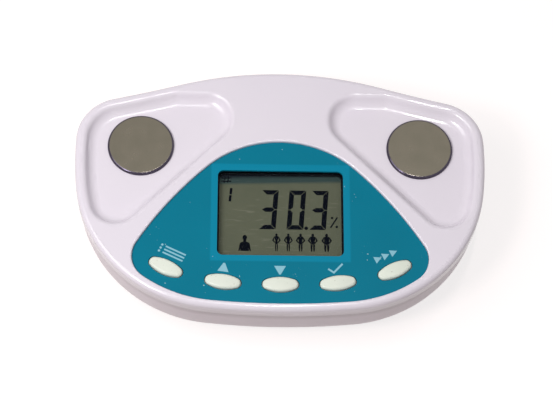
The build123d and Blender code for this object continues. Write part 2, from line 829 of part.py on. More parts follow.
# Contact springs: bent strips from the board up to the thumb electrodes' studs
stud_end = dish_floor - stud_length
with BuildPart() as contact_springs:
    with BuildSketch(Plane.XZ):
        for x, y in thumb_places:
            with BuildLine():
                Polyline(
                    (x + contact_foot, board_top),
                    (x - stud_radius, board_top),
                    (x - contact_head / 2, stud_end - contact_strip),
                    (x + contact_head / 2, stud_end - contact_strip),
                )
                offset(amount=contact_strip, side=Side.RIGHT)
            make_face()
    extrude(amount=contact_width / 2, both=True)
contact_springs.part.label = "contact_springs"
export_step(contact_springs.part.moved(Location((0, thumb_y, 0))), "parts/contact_springs.step")

# Finger leads: insulated wires from the finger electrodes' studs up to the board
with BuildPart() as finger_leads:
    lead_start = finger_pad_top + clip_thickness + stud_tip
    for side in (-1, 1):
        with BuildLine() as route:
            FilletPolyline(
                (side * finger_x, finger_y, lead_start),
                (side * finger_x, finger_y, lead_start + lead_straight),
                (side * (finger_x + lead_shift_x), finger_y + lead_shift_y, board_bottom - lead_straight),
                (side * (finger_x + lead_shift_x), finger_y + lead_shift_y, board_bottom),
                radius=lead_bend,
            )
        with BuildSketch(Plane(route.line @ 0, z_dir=route.line % 0)):
            Circle(lead_radius)
        sweep(path=route.line)
finger_leads.part.label = "finger_leads"
export_step(finger_leads.part, "parts/finger_leads.step")

# Battery cells: the upper one points its nub to the left, the lower one to the right
can_start = -bay_length / 2 + terminal_thickness + bump_reach + touch_gap + cell_nub_length
for name, side in (("upper_cell", 1), ("lower_cell", -1)):
    with BuildPart() as cell:
        with BuildSketch(Plane.YZ.offset(side * can_start)):
            with Locations((side * cell_axis_y, cell_axis_z)):
                Circle(cell_radius)
        extrude(amount=side * cell_length)
        with BuildSketch(Plane.YZ.offset(side * can_start)):
            with Locations((side * cell_axis_y, cell_axis_z)):
                Circle(cell_nub_radius)
        extrude(amount=-side * cell_nub_length)
    cell.part.label = name
    export_step(cell.part, "parts/" + name + ".step")


def leaf_sketch(reach, half_height, top):
    """Side view of a terminal strip: down the wall from top, and folded out by reach to meet the cell."""
    with BuildSketch() as shape:
        with BuildLine():
            Polyline(
                (0, top),
                (0, cell_axis_z - half_height),
                (reach, cell_axis_z - leaf_flat / 2),
                (reach, cell_axis_z + leaf_flat / 2),
                (reach / 2 + terminal_thickness, cell_axis_z + half_height),
            )
            offset(amount=terminal_thickness, side=Side.LEFT)
        make_face()
    return shape.sketch


# Battery terminals: a bump for the upper cell's nub, a spring leaf for the lower cell, and a link plate
bump_lean = terminal_thickness + bump_reach
spring_lean = terminal_thickness + spring_reach
left_wall = Plane(origin=(-bay_length / 2, 0, 0), x_dir=(1, 0, 0), z_dir=(0, -1, 0))
right_wall = Plane(origin=(bay_length / 2, 0, 0), x_dir=(-1, 0, 0), z_dir=(0, 1, 0))

with BuildPart() as plus_terminal:
    with BuildSketch(left_wall.offset(-cell_axis_y)):
        add(leaf_sketch(bump_lean, bump_half_height, board_bottom))
    extrude(amount=terminal_width / 2, both=True)
plus_terminal.part.label = "plus_terminal"
export_step(plus_terminal.part, "parts/plus_terminal.step")

with BuildPart() as minus_terminal:
    with BuildSketch(left_wall.offset(cell_axis_y)):
        add(leaf_sketch(spring_lean, spring_half_height, board_bottom))
    extrude(amount=terminal_width / 2, both=True)
minus_terminal.part.label = "minus_terminal"
export_step(minus_terminal.part, "parts/minus_terminal.step")

link_top = cell_axis_z + spring_half_height
with BuildPart() as link_terminal:
    with BuildSketch(right_wall.offset(cell_axis_y)):
        add(leaf_sketch(spring_lean, spring_half_height, link_top))
    extrude(amount=terminal_width / 2, both=True)
    with BuildSketch(right_wall.offset(-cell_axis_y)):
        add(leaf_sketch(bump_lean, bump_half_height, link_top))
    extrude(amount=terminal_width / 2, both=True)
    with BuildSketch(Plane.YZ.offset(bay_length / 2)):
        with Locations((0, cell_axis_z)):
            Rectangle(2 * cell_axis_y, 2 * bump_half_height)
    extrude(amount=-terminal_thickness)
link_terminal.part.label = "link_terminal"
export_step(link_terminal.part, "parts/link_terminal.step")

# Small parts on the board: buzzer, glob-top controller chip, crystal can and chip components
with BuildPart() as buzzer:
    with BuildSketch(Plane.XY.offset(board_top)):
        with Locations((0, buzzer_y)):
            Circle(buzzer_radius)
    extrude(amount=buzzer_height)
    with BuildSketch(Plane.XY.offset(board_top + buzzer_height)):
        with Locations((0, buzzer_y)):
            Circle(buzzer_port_radius)
    extrude(amount=-buzzer_port_depth, mode=Mode.SUBTRACT)
buzzer.part.label = "buzzer"
export_step(buzzer.part, "parts/buzzer.step")

chip_ball = (chip_radius**2 + chip_height**2) / (2 * chip_height)
with BuildPart() as controller_chip:
    with Locations((0, window_y, board_bottom - chip_height + chip_ball)):
        Sphere(chip_ball)
    split(bisect_by=Plane.XY.offset(board_bottom), keep=Keep.BOTTOM)
controller_chip.part.label = "controller_chip"
export_step(controller_chip.part, "parts/controller_chip.step")

with BuildPart() as crystal:
    with Locations((crystal_x, crystal_y, board_top + crystal_radius)):
        Cylinder(crystal_radius, crystal_length, rotation=(0, 90, 0))
crystal.part.label = "crystal"
export_step(crystal.part, "parts/crystal.step")

with BuildPart() as chip_components:
    with BuildSketch(Plane.XY.offset(board_top)):
        for side in (-1, 1):
            with Locations((side * component_x, component_y)):
                with GridLocations(component_pitch, component_pitch, component_columns, component_rows):
                    Rectangle(component_length, component_width)
    extrude(amount=component_height)
chip_components.part.label = "chip_components"
export_step(chip_components.part, "parts/chip_components.step")

# Case screws: cross-slotted pan heads in the counterbores, shanks up into the front bosses
with BuildPart() as case_screws:
    with BuildSketch(Plane.XY.offset(screw_seat)):
        with Locations(*case_screw_places):
            Circle(screw_head_radius)
    extrude(amount=-screw_head_height)
    with BuildSketch(Plane.XY.offset(screw_seat)):
        with Locations(*case_screw_places):
            Circle(screw_shank_radius)
    extrude(amount=boss_web + screw_engagement)
    with BuildSketch(Plane.XY.offset(screw_seat - screw_head_height)):
        with Locations(*case_screw_places):
            Rectangle(cross_slot_length, cross_slot_width)
            Rectangle(cross_slot_width, cross_slot_length)
    extrude(amount=cross_slot_depth, mode=Mode.SUBTRACT)
case_screws.part.label = "case_screws"
export_step(case_screws.part, "parts/case_screws.step")

# Board screws: hold the board to the front cover's posts from below
with BuildPart() as board_screws:
    with BuildSketch(Plane.XY.offset(board_bottom)):
        with Locations(*board_screw_places):
            Circle(board_screw_head_radius)
    extrude(amount=-board_screw_head_height)
    with BuildSketch(Plane.XY.offset(board_bottom)):
        with Locations(*board_screw_places):
            Circle(board_screw_radius)
    extrude(amount=board_screw_length)
board_screws.part.label = "board_screws"
export_step(board_screws.part, "parts/board_screws.step")
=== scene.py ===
from math import cos, pi, radians, sin, tan

import bmesh
import bpy
from mathutils import Matrix, Vector


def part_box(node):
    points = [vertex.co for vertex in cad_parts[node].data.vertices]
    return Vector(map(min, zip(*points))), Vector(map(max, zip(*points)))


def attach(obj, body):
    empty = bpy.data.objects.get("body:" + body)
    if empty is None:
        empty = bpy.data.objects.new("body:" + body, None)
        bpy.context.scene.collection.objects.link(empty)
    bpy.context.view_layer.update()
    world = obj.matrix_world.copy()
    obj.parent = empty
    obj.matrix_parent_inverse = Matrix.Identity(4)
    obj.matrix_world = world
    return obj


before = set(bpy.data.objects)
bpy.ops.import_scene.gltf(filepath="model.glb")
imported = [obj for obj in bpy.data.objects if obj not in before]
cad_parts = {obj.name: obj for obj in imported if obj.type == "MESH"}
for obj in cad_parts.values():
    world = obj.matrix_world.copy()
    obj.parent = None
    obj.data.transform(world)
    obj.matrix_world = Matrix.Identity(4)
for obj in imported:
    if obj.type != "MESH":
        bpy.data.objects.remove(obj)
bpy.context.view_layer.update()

# Front cover. It is injection moulded in white ABS with a lilac cast. Its outside is polished, with
# a faint orange peel and cloudy flow marks, and it drops over the back cover's tongue. Shade is
# painted on its steep sides near the lower edge, where they turn away from the light.
mm = 0.001


class Wire:
    """An output of a shader node. Arithmetic on it adds Math nodes."""

    def __init__(self, nodes, socket):
        self.nodes = nodes
        self.socket = socket

    def maths(self, operation, *terms):
        return self.nodes.node("ShaderNodeMath", {"operation": operation}, dict(enumerate(terms)))

    def __add__(self, other):
        return self.maths("ADD", self, other)

    def __radd__(self, other):
        return self.maths("ADD", other, self)

    def __sub__(self, other):
        return self.maths("SUBTRACT", self, other)

    def __rsub__(self, other):
        return self.maths("SUBTRACT", other, self)

    def __mul__(self, other):
        return self.maths("MULTIPLY", self, other)

    def __rmul__(self, other):
        return self.maths("MULTIPLY", other, self)

    def __pow__(self, other):
        return self.maths("POWER", self, other)

    def __abs__(self):
        return self.maths("ABSOLUTE", self)

    def __gt__(self, other):
        return self.maths("GREATER_THAN", self, other)

    def __lt__(self, other):
        return self.maths("LESS_THAN", self, other)


class Nodes:
    """The nodes of one shader tree."""

    def __init__(self, tree):
        self.tree = tree

    def node(self, kind, settings, values, output=0):
        """Adds a node, sets it up, joins its sockets and gives one of its outputs."""
        node = self.tree.nodes.new(kind)
        for setting, value in settings.items():
            setattr(node, setting, value)
        for socket, value in values.items():
            if isinstance(value, Wire):
                self.tree.links.new(value.socket, node.inputs[socket])
            else:
                node.inputs[socket].default_value = value
        return Wire(self, node.outputs[output])

    def spot(self):
        """The point on the piece, in metres in the shared frame."""
        return self.node("ShaderNodeTexCoord", {}, {}, "Object")

    def axis(self, letter):
        """One coordinate of the point on the piece."""
        return self.node("ShaderNodeSeparateXYZ", {}, {"Vector": self.spot()}, letter)

    def noise(self, size, detail=2.0, stretch=(1, 1, 1)):
        """Cloudy noise around 0.5 with grains of a size, drawn out along an axis by stretch."""
        spread = self.node("ShaderNodeMapping", {}, {"Vector": self.spot(), "Scale": stretch})
        values = {"Vector": spread, "Scale": 1 / size, "Detail": detail}
        return self.node("ShaderNodeTexNoise", {}, values)

    def ease(self, value, start, end):
        """0 before start, 1 after end and smooth between them."""
        limits = {"Value": value, "From Min": start, "From Max": end}
        return self.node("ShaderNodeMapRange", {"interpolation_type": "SMOOTHSTEP"}, limits)

    def mix(self, mask, first, second):
        """The first colour where the mask is 0, and the second where it is 1."""
        factor, colour_a, colour_b, colour_out = 0, 6, 7, 2
        values = {factor: mask, colour_a: first, colour_b: second}
        return self.node("ShaderNodeMix", {"data_type": "RGBA"}, values, colour_out)


class Finish(Nodes):
    """A procedural material around one Principled shader, whose own sockets hold its constants."""

    def __init__(self, name, constants):
        self.material = bpy.data.materials.new(name)
        self.material.use_nodes = True
        super().__init__(self.material.node_tree)
        self.shader = self.tree.nodes["Principled BSDF"]
        for socket, value in constants.items():
            self.shader.inputs[socket].default_value = value

    def vary(self, socket, value):
        """Lets a socket of the shader vary over the surface."""
        self.tree.links.new(value.socket, self.shader.inputs[socket])

    def relief(self, height, depth):
        """Raises the surface by up to depth where the height is 1."""
        self.vary("Normal", self.node("ShaderNodeBump", {}, {"Height": height, "Distance": depth}))


def ink(red, green, blue):
    """A linear colour from the 0 to 255 values that a paint chart gives."""
    shades = [(shade / 255 + 0.055) / 1.055 for shade in (red, green, blue)]
    return [shade**2.4 for shade in shades] + [1.0]


def dress(finish, *names):
    """Gives carried-over nodes their finish."""
    for name in names:
        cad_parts[name].data.materials[0] = finish.material


cover_edge = 21.4 * mm
edge_shade_height = 3.8 * mm
edge_shade_share = 0.35
gentle_slope, steep_slope = 0.7, 0.25
orange_peel = 1.4 * mm
front_gloss = Finish("polished_abs", {"IOR": 1.5, "Coat Weight": 0.5, "Coat Roughness": 0.05})
front_cloud = front_gloss.noise(26 * mm, 3.0)
front_white = front_gloss.mix(front_cloud, ink(234, 226, 234), ink(229, 221, 231))
facing = front_gloss.node("ShaderNodeNewGeometry", {}, {}, "True Normal")
facing_up = front_gloss.node("ShaderNodeSeparateXYZ", {}, {"Vector": facing}, "Z")
steep = front_gloss.ease(facing_up, gentle_slope, steep_slope)
low_down = front_gloss.ease(front_gloss.axis("Z"), cover_edge + edge_shade_height, cover_edge)
# Painted shade: steep faces near the lower edge darken towards grey brown and get a little rougher.
painted_edge_shade = edge_shade_share * steep * low_down
front_gloss.vary("Base Color", front_gloss.mix(painted_edge_shade, front_white, ink(176, 162, 158)))
front_gloss.vary("Roughness", 0.17 + 0.12 * front_gloss.noise(7 * mm) + 0.2 * painted_edge_shade)
front_gloss.relief(front_gloss.noise(orange_peel), 0.012 * mm)
dress(front_gloss, "front_cover")

# Back cover and battery door. They are moulded in the same white ABS, but in a mould with a fine
# spark grain, so they are satin. Shade is painted on the tongue in the joint and in a band under
# the front cover's lip. The door clips in with two tabs and a latch, and its grip grooves hold a
# little dust.
back_edge = 20.4 * mm
tongue_height = 1.2 * mm
under_lip_shade_depth = 4.0 * mm
under_lip_shade_share = 0.22
joint_shade_share = 0.73
spark_grain = 0.35 * mm
back_satin = Finish("grained_abs", {"IOR": 1.5, "Coat Weight": 0.1, "Coat Roughness": 0.2})
back_cloud = back_satin.noise(22 * mm, 3.0)
back_white = back_satin.mix(back_cloud, ink(232, 222, 228), ink(227, 216, 223))
back_height = back_satin.axis("Z")
# Painted shade: strong on the tongue in the joint, and a lighter band under the front cover's lip.
tongue = back_satin.ease(back_height, back_edge - tongue_height, back_edge)
below_seam = back_satin.ease(back_height, back_edge - under_lip_shade_depth, back_edge - tongue_height)
painted_seam_shade = under_lip_shade_share * below_seam + joint_shade_share * tongue
back_satin.vary("Base Color", back_satin.mix(painted_seam_shade, back_white, ink(92, 70, 68)))
back_satin.vary("Roughness", 0.3 + 0.14 * back_satin.noise(5 * mm))
back_satin.relief(back_satin.noise(spark_grain, 3.0), 0.02 * mm)
dress(back_satin, "back_cover")

door_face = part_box("battery_door")[0].z
face_blur = 0.1 * mm
groove_depth = 0.4 * mm
groove_dust = 0.35
door_satin = Finish("door_abs", {"IOR": 1.5, "Coat Weight": 0.1, "Coat Roughness": 0.2})
door_height = door_satin.axis("Z")
in_groove = door_satin.ease(door_height, door_face + face_blur, door_face + groove_depth)
past_groove = door_satin.ease(door_height, door_face + groove_depth, door_face + 2 * groove_depth)
dust = groove_dust * in_groove * (1 - past_groove)
door_white = door_satin.mix(door_satin.noise(18 * mm, 3.0), ink(232, 222, 228), ink(226, 216, 223))
door_satin.vary("Base Color", door_satin.mix(dust, door_white, ink(150, 138, 136)))
door_satin.vary("Roughness", 0.3 + 0.14 * door_satin.noise(5 * mm))
door_satin.relief(door_satin.noise(spark_grain, 3.0), 0.02 * mm)
dress(door_satin, "battery_door")

# Front panel. A polycarbonate plate, screen printed from behind in teal, with a lighter border
# around the display. It is glued in the front cover's pocket, and a few specks of dust lie on it.
panel_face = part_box("front_panel")[1].z
lens_low, lens_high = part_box("display_window")
lens_margin = 2.2 * mm
display_centre = (lens_low + lens_high) / 2
opening_half_width = (lens_high.x - lens_low.x) / 2 - lens_margin
opening_half_length = (lens_high.y - lens_low.y) / 2 - lens_margin
border_side = 2.2 * mm
border_upper = 2.4 * mm
border_lower = 2.1 * mm
border_blur = 0.35 * mm
panel_print = Finish("printed_panel", {"IOR": 1.5, "Specular IOR Level": 0.06})
panel_x = abs(panel_print.axis("X"))
panel_y = panel_print.axis("Y") - display_centre.y
border_x = opening_half_width + border_side
border_top = opening_half_length + border_upper
border_foot = opening_half_length + border_lower
border_mask = (
    panel_print.ease(panel_x, border_x + border_blur, border_x - border_blur)
    * panel_print.ease(panel_y, border_top + border_blur, border_top - border_blur)
    * panel_print.ease(0 - panel_y, border_foot + border_blur, border_foot - border_blur)
)
teal = panel_print.mix(panel_print.noise(20 * mm, 3.0), ink(7, 125, 150), ink(10, 116, 140))
bordered = panel_print.mix(border_mask, teal, ink(12, 134, 164))
speck_noise = panel_print.noise(0.55 * mm, 0.0)
dusty_places = panel_print.noise(9 * mm) > 0.58
specks = panel_print.ease(speck_noise, 0.82, 0.86) * dusty_places
panel_print.vary("Base Color", panel_print.mix(specks, bordered, ink(175, 215, 220)))
panel_print.vary("Roughness", 0.2 + 0.08 * panel_print.noise(8 * mm) + 0.3 * specks)
panel_print.relief(panel_print.noise(0.9 * mm), 0.008 * mm)
dress(panel_print, "front_panel")


# Signs on the panel: a list, two arrowheads, a tick and a start sign. They are one thin layer of
# pale ink, printed above the keys and turned with them.
class Layer:
    """Flat shapes drawn in one plan, which then get the thickness of a thin layer."""

    def __init__(self, place=None):
        self.shape = bmesh.new()
        self.place = place or Matrix.Identity(4)

    def outline(self, points):
        """A flat shape inside its corner points, which are given in millimetres."""
        corners = [self.place @ Vector((x * mm, y * mm, 0)) for x, y in points]
        self.shape.faces.new([self.shape.verts.new(corner) for corner in corners])

    def bar(self, start, end, width):
        """A straight bar with square ends."""
        first, second = Vector(start), Vector(end)
        along = (second - first).normalized()
        side = Vector((-along.y, along.x)) * width / 2
        self.outline([first + side, first - side, second - side, second + side])

    def disc(self, centre, radius, tall=1.0, corners=28):
        """A filled circle, or an ellipse where tall isn't 1."""
        turns = [2 * pi * step / corners for step in range(corners)]
        x, y = centre
        self.outline([(x + radius * cos(turn), y + radius * tall * sin(turn)) for turn in turns])

    def raise_to(self, foot, thickness):
        """Gives every shape its thickness, upwards from its foot."""
        bmesh.ops.remove_doubles(self.shape, verts=self.shape.verts, dist=0.001 * mm)
        bmesh.ops.recalc_face_normals(self.shape, faces=self.shape.faces)
        raised = bmesh.ops.extrude_face_region(self.shape, geom=self.shape.faces)["geom"]
        lifted = [part for part in raised if isinstance(part, bmesh.types.BMVert)]
        bmesh.ops.translate(self.shape, verts=lifted, vec=(0, 0, thickness))
        bmesh.ops.translate(self.shape, verts=self.shape.verts, vec=(0, 0, foot))
        bmesh.ops.recalc_face_normals(self.shape, faces=self.shape.faces)
        return self.shape


def add_piece(name, shape, finish, body):
    """Makes an object from a finished shape, and lets it ride on a body."""
    mesh = bpy.data.meshes.new(name)
    shape.to_mesh(mesh)
    shape.free()
    mesh.materials.append(finish.material)
    made = bpy.data.objects.new(name, mesh)
    bpy.context.scene.collection.objects.link(made)
    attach(made, body)


def over_key(name, x, y, degrees):
    """A place beside a key's middle, in millimetres, on axes that are turned as the key is."""
    low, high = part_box(name + "_key")
    middle = Matrix.Translation(((low.x + high.x) / 2, (low.y + high.y) / 2, 0))
    turned = middle @ Matrix.Rotation(radians(degrees), 4, "Z")
    return turned @ Matrix.Translation((x * mm, y * mm, 0))


outer_key_angle = 25.6
inner_key_angle = 7.7
sign_thickness = 0.03 * mm
list_line_width = 0.56
list_dot_radius = 0.4
up_arrow_half_width = 1.85
down_arrow_half_width = 1.95
arrow_half_height = 1.55
up_tip_half_width = 0.3
down_tip_half_width = 0.25
tick = [(-2.6, 0.1), (-0.7, -1.6), (2.8, 1.35), (2.4, 1.85), (-0.7, -0.75), (-2.15, 0.6)]
start_arrow_length = 2.4
start_arrow_half_height = 1.3
sign_layer = Layer()

sign_layer.place = over_key("menu", -0.5, 5.55, -outer_key_angle)
for row in (-1.2, 0.0, 1.2):
    sign_layer.bar((-2.9, row), (4.5, row), list_line_width)
    sign_layer.disc((-4.2, row), list_dot_radius)
sign_layer.place = over_key("up", -0.5, 5.2, -inner_key_angle)
sign_layer.outline([
    (-up_arrow_half_width, -arrow_half_height),
    (up_arrow_half_width, -arrow_half_height),
    (up_tip_half_width, arrow_half_height),
    (-up_tip_half_width, arrow_half_height),
])
sign_layer.place = over_key("down", -0.15, 5.2, 0)
sign_layer.outline([
    (-down_arrow_half_width, arrow_half_height),
    (-down_tip_half_width, -arrow_half_height),
    (down_tip_half_width, -arrow_half_height),
    (down_arrow_half_width, arrow_half_height),
])
sign_layer.place = over_key("set", -0.1, 5.1, inner_key_angle)
sign_layer.outline(tick)
sign_layer.place = over_key("start", -0.2, 5.9, outer_key_angle)
for left in (-4.2, -1.3, 1.6):
    sign_layer.outline([
        (left, -start_arrow_half_height),
        (left + start_arrow_length, 0),
        (left, start_arrow_half_height),
    ])

sign_ink = Finish("sign_ink", {"IOR": 1.5})
pale_blue = sign_ink.mix(sign_ink.noise(0.5 * mm), ink(122, 182, 200), ink(142, 196, 210))
sign_ink.vary("Base Color", pale_blue)
sign_ink.vary("Roughness", 0.35 + 0.2 * sign_ink.noise(0.8 * mm))
sign_shape = sign_layer.raise_to(panel_face, sign_thickness)
add_piece("panel_signs", sign_shape, sign_ink, "case")

# Display window. A clear acrylic lens in a rebate under the panel, with a black border printed on
# it, which hides its glue line. Only the border is opaque.
lens_edge = 0.15 * mm
corner_radius = 2.0 * mm


def beyond(distance, start):
    """How far a distance has passed its start, and 0 before it."""
    past = distance - start
    return past.maths("MAXIMUM", past, 0)


lens = Finish("acrylic_lens", {"IOR": 1.49, "Roughness": 0.04, "Specular IOR Level": 0.2})
lens_x = abs(lens.axis("X"))
lens_y = abs(lens.axis("Y") - display_centre.y)
past_side = beyond(lens_x, opening_half_width - corner_radius)
past_end = beyond(lens_y, opening_half_length - corner_radius)
from_corner = (past_side * past_side + past_end * past_end) ** 0.5
lens_border = from_corner > corner_radius - lens_edge
lens_haze = 0.015 + 0.015 * lens.noise(3 * mm)
lens.vary("Base Color", lens.mix(lens_border, ink(70, 84, 84), ink(6, 6, 12)))
lens.vary("Alpha", lens_haze + (1 - lens_haze) * lens_border)
dress(lens, "display_window")

# Display gasket. A black foam strip that lines the opening between the lens and the display, and
# keeps dust and stray light out. It is die cut as one ring and stuck under the lens.
gasket_width = 0.55 * mm
gasket_gap = 0.03 * mm
glass_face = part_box("lcd_glass")[1].z
gasket_foot = glass_face + 0.01 * mm
gasket_height = lens_low.z - gasket_gap - gasket_foot
gasket_shape = bmesh.new()
for inset in (gasket_gap, gasket_gap + gasket_width):
    half_width = opening_half_width - inset
    half_length = opening_half_length - inset
    corners = []
    for side, end in ((1, 1), (-1, 1), (-1, -1), (1, -1)):
        corner = Vector((side * half_width, end * half_length, gasket_foot))
        corners.append(gasket_shape.verts.new(display_centre.xy.to_3d() + corner))
    loop = [gasket_shape.edges.new((corners[step - 1], corners[step])) for step in range(4)]
    bmesh.ops.bevel(
        gasket_shape,
        geom=corners + loop,
        offset=corner_radius - inset,
        affect="VERTICES",
        segments=8,
        profile=0.5,
        material=-1,
    )
gasket_ring = bmesh.ops.bridge_loops(gasket_shape, edges=gasket_shape.edges[:])["faces"]
gasket_wall = bmesh.ops.extrude_face_region(gasket_shape, geom=gasket_ring)["geom"]
gasket_top = [part for part in gasket_wall if isinstance(part, bmesh.types.BMVert)]
bmesh.ops.translate(gasket_shape, verts=gasket_top, vec=(0, 0, gasket_height))
bmesh.ops.recalc_face_normals(gasket_shape, faces=gasket_shape.faces)
foam = Finish("black_foam", {"IOR": 1.4, "Specular IOR Level": 0.1})
foam.vary("Base Color", foam.mix(foam.noise(0.25 * mm, 3.0), ink(6, 6, 14), ink(14, 14, 22)))
foam.vary("Roughness", 0.8 + 0.15 * foam.noise(0.4 * mm))
foam.relief(foam.noise(0.2 * mm, 3.0), 0.05 * mm)
add_piece("display_gasket", gasket_shape, foam, "case")

# Liquid crystal display. Two glass sheets with a polarising film on top, olive grey at rest and
# finely scratched, and a foil behind them that throws the light back. A cold shade is painted on a
# strip of it under the opening's upper edge, darkest right at the edge.
display_film = Finish("display_film", {"IOR": 1.5, "Specular IOR Level": 0.1})
film_x = display_film.axis("X")
film_y = display_film.axis("Y") - display_centre.y - opening_half_length
shade_lean = 0.03
shade_foot = 3.3 * mm
shade_blur = 0.75 * mm
deep_foot = 1.9 * mm
deep_top = 0.2 * mm
along_display = (0.35, 1, 1)
along_scratches = (0.12, 1, 1)
# Painted shade: a cold strip along the opening's upper edge, with a darker one right at the edge.
shade_line = film_y - shade_lean * film_x
film_shade = display_film.ease(shade_line, -shade_foot - shade_blur, -shade_foot + shade_blur)
painted_deep_shade = display_film.ease(shade_line, -deep_foot, -deep_top)
film_fine = display_film.noise(0.7 * mm, 3.0, along_display)
film_wide = display_film.noise(9 * mm)
olive = display_film.mix(film_wide, ink(92, 95, 76), ink(101, 103, 83))
olive = display_film.mix(0.4 * film_fine, olive, ink(82, 89, 77))
film_scratches = display_film.ease(display_film.noise(0.5 * mm, 0.0, along_scratches), 0.7, 0.8)
olive = display_film.mix(0.22 * film_scratches, olive, ink(146, 144, 126))
shaded = display_film.mix(film_shade, olive, ink(52, 70, 68))
display_film.vary("Base Color", display_film.mix(painted_deep_shade, shaded, ink(12, 18, 30)))
display_film.vary("Roughness", 0.32 + 0.12 * film_fine)
display_film.relief(film_fine, 0.004 * mm)
dress(display_film, "lcd_glass")

along_foil = (0.05, 1, 1)
foil = Finish("reflector_foil", {"Metallic": 1.0})
foil_grain = foil.noise(0.5 * mm, 3.0, along_foil)
foil.vary("Base Color", foil.mix(foil_grain, ink(196, 198, 200), ink(222, 222, 220)))
foil.vary("Roughness", 0.25 + 0.2 * foil_grain)
foil.relief(foil_grain, 0.006 * mm)
dress(foil, "lcd_reflector")

# Digits on the display. Seven-bar digits that lean a little, lit as a reading of 30.3 per cent and
# a small 1 for the user. The liquid crystal darkens where the clear electrodes lie, with thin gaps
# between the bars.
digit_width = 5.65
digit_height = 14.55
digit_stroke = 1.62
digit_gap = 0.13
digit_lean = tan(radians(4.3))
digit_foot = -4.85
point_radius = 0.62
small_digit_stroke = 0.85
percent_dot_radius = 0.42
percent_stroke = 0.48
digit_places = (
    (-7.22, "top upper_right lower_right middle bottom"),
    (2.08, "top upper_right lower_right upper_left lower_left bottom"),
    (9.64, "top upper_right lower_right middle bottom"),
)


def digit_bars(width, height, stroke, gap):
    """Corner points of the seven bars of an upright digit, from its lower left corner."""
    half = stroke / 2
    middle = height / 2
    inner = width - stroke
    top = [
        (gap, height),
        (width - gap, height),
        (inner - gap, height - stroke),
        (stroke + gap, height - stroke),
    ]
    upper = [
        (width, height - gap),
        (inner, height - stroke - gap),
        (inner, middle + half + gap),
        (width - half, middle + gap),
        (width, middle + gap),
    ]
    middle_bar = [
        (gap + half / 2, middle),
        (stroke + gap, middle + half),
        (inner - gap, middle + half),
        (width - half - gap, middle),
        (inner - gap, middle - half),
        (stroke + gap, middle - half),
    ]
    return {
        "top": top,
        "bottom": [(x, height - y) for x, y in top],
        "upper_right": upper,
        "lower_right": [(x, height - y) for x, y in upper],
        "upper_left": [(width - x, y) for x, y in upper],
        "lower_left": [(width - x, height - y) for x, y in upper],
        "middle": middle_bar,
    }


over_display = Matrix.Translation((0, display_centre.y, 0))
digit_layer = Layer(over_display)
bars = digit_bars(digit_width, digit_height, digit_stroke, digit_gap)
for left, lit in digit_places:
    for bar_name in lit.split():
        leaned = [(left + x + y * digit_lean, digit_foot + y) for x, y in bars[bar_name]]
        digit_layer.outline(leaned)
digit_layer.disc((8.72, -4.3), point_radius)
digit_layer.bar((-16.55, 10.3), (-16.76, 7.98), small_digit_stroke)
digit_layer.bar((-16.8, 7.62), (-17.02, 5.35), small_digit_stroke)
digit_layer.disc((17.44, -0.37), percent_dot_radius)
digit_layer.disc((18.98, -3.67), percent_dot_radius)
digit_layer.bar((16.88, -4.02), (19.25, -0.12), percent_stroke)

segment_black = Finish("dark_segments", {"IOR": 1.5, "Specular IOR Level": 0.0})
segment_cloud = segment_black.noise(2 * mm)
segment_black.vary("Base Color", segment_black.mix(segment_cloud, ink(6, 7, 18), ink(10, 11, 22)))
segment_black.vary("Roughness", 0.4 + 0.1 * segment_black.noise(1 * mm))
segment_thickness = 0.05 * mm
digit_shape = digit_layer.raise_to(glass_face, segment_thickness)
add_piece("lcd_digits", digit_shape, segment_black, "case")

# Signs on the display: a number sign over the small digit, a head and shoulders, and five standing
# figures that grow stouter from left to right. They are fixed shapes that the display darkens one
# by one.
number_sign_bar = 0.42
number_sign_post = 0.36
number_sign_lean = 0.1
figure_layer = Layer(over_display)
for row in (12.85, 14.05):
    for start, end in ((-19.9, -19.05), (-18.65, -17.85), (-17.45, -16.6)):
        figure_layer.bar((start, row), (end, row), number_sign_bar)
for reach in (-18.85, -17.65):
    post_foot = (reach - number_sign_lean, 12.25)
    post_top = (reach + number_sign_lean, 14.75)
    figure_layer.bar(post_foot, post_top, number_sign_post)

bust_x = -11.87
bust_head = 0.74
shoulder_steps = 5
figure_layer.disc((bust_x, -8.1), bust_head, tall=1.35)
shoulders = []
for step in range(shoulder_steps + 1):
    turn = pi / 2 * step / shoulder_steps
    shoulders.append((0.8 + 0.9 * sin(turn), -10.6 + 0.9 * cos(turn)))
bust_side = [(0.48, -9.0), (0.55, -9.6)] + shoulders
bust_side += [(2.1, -12.94), (1.7, -12.94), (1.5, -12.1), (1.38, -12.94)]
bust_right = [(bust_x + x, y) for x, y in bust_side]
bust_left = [(bust_x - x, y) for x, y in reversed(bust_side)]
figure_layer.outline(bust_right + bust_left)

